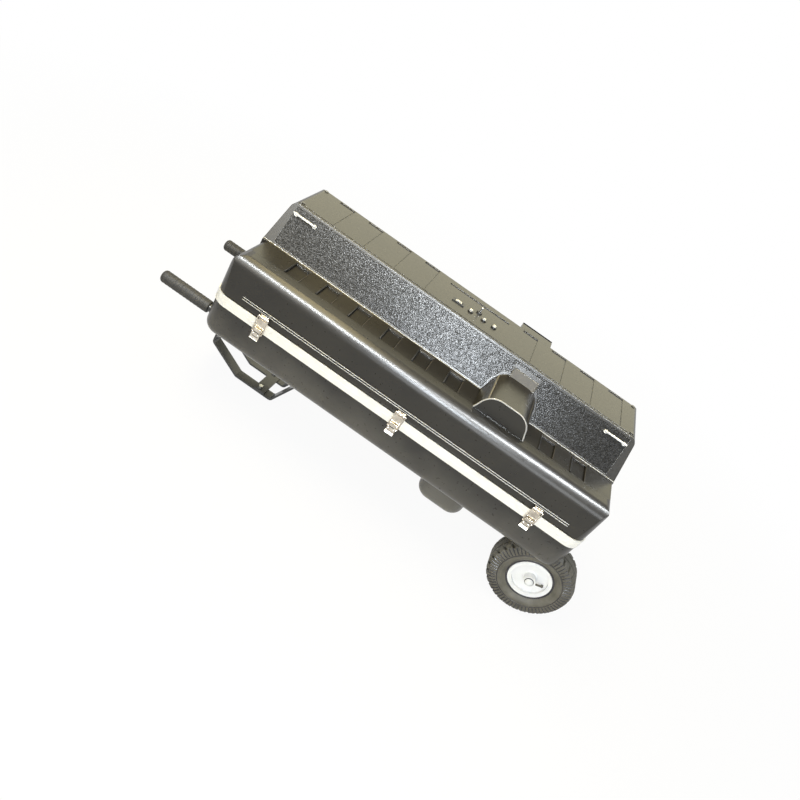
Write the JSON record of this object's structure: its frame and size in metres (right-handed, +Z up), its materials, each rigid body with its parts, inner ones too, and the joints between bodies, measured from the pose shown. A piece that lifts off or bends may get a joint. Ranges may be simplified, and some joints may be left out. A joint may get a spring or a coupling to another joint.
{
  "type": "tennis ball machine",
  "caption": "Tennis ball machine in a long black wheeled case with a hinged lid, draw latches, strap legs, pull-out handles, a ball feed belt and a tilting two-wheel throw head.",
  "frame": {"origin": "centre of the bounding box on the ground", "axes": "+Z up, +X along the case towards the wheels, -Y the front with the latches"},
  "size_m": [1.508, 0.524, 0.6122],
  "materials": {
    "black_shell": "pebble grained black moulded plastic",
    "panel_grain": "coarse grained black sheet",
    "band": "bright satin extrusion",
    "latch_nickel": "warm nickel plate",
    "hinge_steel": "bright steel",
    "frame_alu": "mill finish sheet",
    "leg_black": "black paint on steel",
    "bolt_zinc": "zinc plated",
    "black_plastic": "black moulded plastic",
    "screw_black": "blackened screw heads",
    "tray_grey": "dark grey sheet",
    "belt_rubber": "dark belt rubber",
    "motor_grey": "dark grey motor can",
    "battery_grey": "dark grey case",
    "pull_white": "bright wire and bosses",
    "tyre_rubber": "black treaded rubber",
    "rim_white": "white gloss paint",
    "grip_rubber": "black grip rubber",
    "throw_rubber": "dense red rubber",
    "switch_white": "white gloss plastic",
    "toggle_chrome": "bright lever"
  },
  "bodies": {
    "base": {"base_shell": "black_shell", "base_valance": "band", "latch_plates": "latch_nickel", "hinge_base_leaves": "hinge_steel", "axle": "hinge_steel", "axle_hangers": "leg_black", "axle_caps": "rim_white", "leg_front": "leg_black", "leg_rear": "leg_black", "leg_cross_bar": "leg_black", "leg_bolts": "bolt_zinc", "handle_bushes": "black_plastic", "handle_guides": "black_plastic", "hopper_tray": "tray_grey", "feed_frame": "frame_alu", "feed_belt": "belt_rubber", "feed_motor": "motor_grey", "feed_chute": "frame_alu", "battery": "battery_grey", "head_stand": "frame_alu"},
    "lid": {"lid_shell": "black_shell", "lid_valance": "band", "latch_keepers": "latch_nickel", "hinge_lid_leaves": "hinge_steel", "sloped_panel": "panel_grain", "panel_pulls": "pull_white", "control_box": "black_plastic", "switch_bezel": "black_plastic", "button_collars": "black_plastic", "lid_screws": "screw_black"},
    "lever_left": {"latch_lever_left": "latch_nickel"},
    "bail_left": {"latch_bail_left": "latch_nickel"},
    "lever_mid": {"latch_lever_mid": "latch_nickel"},
    "bail_mid": {"latch_bail_mid": "latch_nickel"},
    "lever_right": {"latch_lever_right": "latch_nickel"},
    "bail_right": {"latch_bail_right": "latch_nickel"},
    "wheel_front": {"tyre_front": "tyre_rubber", "rim_front": "rim_white", "valve_front": "tyre_rubber"},
    "handle_front": {"handle_tube_front": "leg_black", "handle_grip_front": "grip_rubber"},
    "wheel_rear": {"tyre_rear": "tyre_rubber", "rim_rear": "rim_white", "valve_rear": "tyre_rubber"},
    "handle_rear": {"handle_tube_rear": "leg_black", "handle_grip_rear": "grip_rubber"},
    "head": {"head_frame": "frame_alu", "head_barrel": "black_plastic", "motor_upper": "motor_grey", "motor_lower": "motor_grey"},
    "upper_throw": {"throw_wheel_upper": "throw_rubber"},
    "lower_throw": {"throw_wheel_lower": "throw_rubber"},
    "drive": {"drive_roller": "hinge_steel"},
    "idler": {"idler_roller": "hinge_steel"},
    "power_rocker": {"rocker": "switch_white"},
    "push_left": {"button_left": "switch_white"},
    "push_mid": {"button_mid": "switch_white"},
    "push_right": {"button_right": "switch_white"},
    "toggle_lever": {"toggle": "toggle_chrome"}
  },
  "joints": [
    {"name": "lid_hinge", "type": "hinge", "parent": "base", "child": "lid", "pos_m": [0.036, 0.2564, 0.34315], "axis": [-1, 0, 0], "range_deg": [0, 105]},
    {"name": "latch_left_turn", "type": "hinge", "parent": "base", "child": "lever_left", "pos_m": [-0.413, -0.256, 0.334], "axis": [-1, 0, 0], "range_deg": [0, 150]},
    {"name": "bail_left_swing", "type": "hinge", "parent": "lever_left", "child": "bail_left", "pos_m": [-0.413, -0.256, 0.324], "axis": [-1, 0, 0], "range_deg": [-150, 0]},
    {"name": "latch_mid_turn", "type": "hinge", "parent": "base", "child": "lever_mid", "pos_m": [0.036, -0.256, 0.334], "axis": [-1, 0, 0], "range_deg": [0, 150]},
    {"name": "bail_mid_swing", "type": "hinge", "parent": "lever_mid", "child": "bail_mid", "pos_m": [0.036, -0.256, 0.324], "axis": [-1, 0, 0], "range_deg": [-150, 0]},
    {"name": "latch_right_turn", "type": "hinge", "parent": "base", "child": "lever_right", "pos_m": [0.485, -0.256, 0.334], "axis": [-1, 0, 0], "range_deg": [0, 150]},
    {"name": "bail_right_swing", "type": "hinge", "parent": "lever_right", "child": "bail_right", "pos_m": [0.485, -0.256, 0.324], "axis": [-1, 0, 0], "range_deg": [-150, 0]},
    {"name": "wheel_front_spin", "type": "hinge", "parent": "base", "child": "wheel_front", "pos_m": [0.624, -0.182, 0.13], "axis": [0, 1, 0], "continuous": true},
    {"name": "handle_front_pull", "type": "slide", "parent": "base", "child": "handle_front", "axis": [-1, 0, 0], "range_m": [0, 0.26]},
    {"name": "wheel_rear_spin", "type": "hinge", "parent": "base", "child": "wheel_rear", "pos_m": [0.624, 0.182, 0.13], "axis": [0, 1, 0], "continuous": true},
    {"name": "handle_rear_pull", "type": "slide", "parent": "base", "child": "handle_rear", "axis": [-1, 0, 0], "range_m": [0, 0.26]},
    {"name": "head_tilt", "type": "hinge", "parent": "base", "child": "head", "pos_m": [0.268, -0.065, 0.355], "axis": [-1, 0, 0], "range_deg": [0, 18]},
    {"name": "upper_throw_spin", "type": "hinge", "parent": "head", "child": "upper_throw", "pos_m": [0.268, -0.065, 0.454], "axis": [1, 0, 0], "continuous": true},
    {"name": "lower_throw_spin", "type": "hinge", "parent": "head", "child": "lower_throw", "pos_m": [0.268, -0.065, 0.256], "axis": [1, 0, 0], "continuous": true},
    {"name": "drive_spin", "type": "hinge", "parent": "base", "child": "drive", "pos_m": [0.154, 0.05, 0.299], "axis": [0, 1, 0], "continuous": true},
    {"name": "idler_spin", "type": "hinge", "parent": "base", "child": "idler", "pos_m": [-0.476, 0.05, 0.249], "axis": [0, 1, 0], "continuous": true},
    {"name": "rocker_tip", "type": "hinge", "parent": "lid", "child": "power_rocker", "pos_m": [-0.012, 0.076, 0.587], "axis": [0, 1, 0], "range_deg": [-8, 8]},
    {"name": "button_left_press", "type": "slide", "parent": "lid", "child": "push_left", "axis": [0, 0, -1], "range_m": [0, 0.003], "stiffness_N_per_m": 400, "springref_m": -0.001},
    {"name": "button_mid_press", "type": "slide", "parent": "lid", "child": "push_mid", "axis": [0, 0, -1], "range_m": [0, 0.003], "stiffness_N_per_m": 400, "springref_m": -0.001},
    {"name": "button_right_press", "type": "slide", "parent": "lid", "child": "push_right", "axis": [0, 0, -1], "range_m": [0, 0.003], "stiffness_N_per_m": 400, "springref_m": -0.001},
    {"name": "toggle_tip", "type": "hinge", "parent": "lid", "child": "toggle_lever", "pos_m": [0.056, 0.098, 0.591], "axis": [0, 1, 0], "range_deg": [-12, 12]}
  ],
  "couplings": [
    {"joint": "bail_left_swing", "follows": "latch_left_turn", "ratio": -1},
    {"joint": "bail_mid_swing", "follows": "latch_mid_turn", "ratio": -1},
    {"joint": "bail_right_swing", "follows": "latch_right_turn", "ratio": -1},
    {"joint": "idler_spin", "follows": "drive_spin", "ratio": 1}
  ]
}
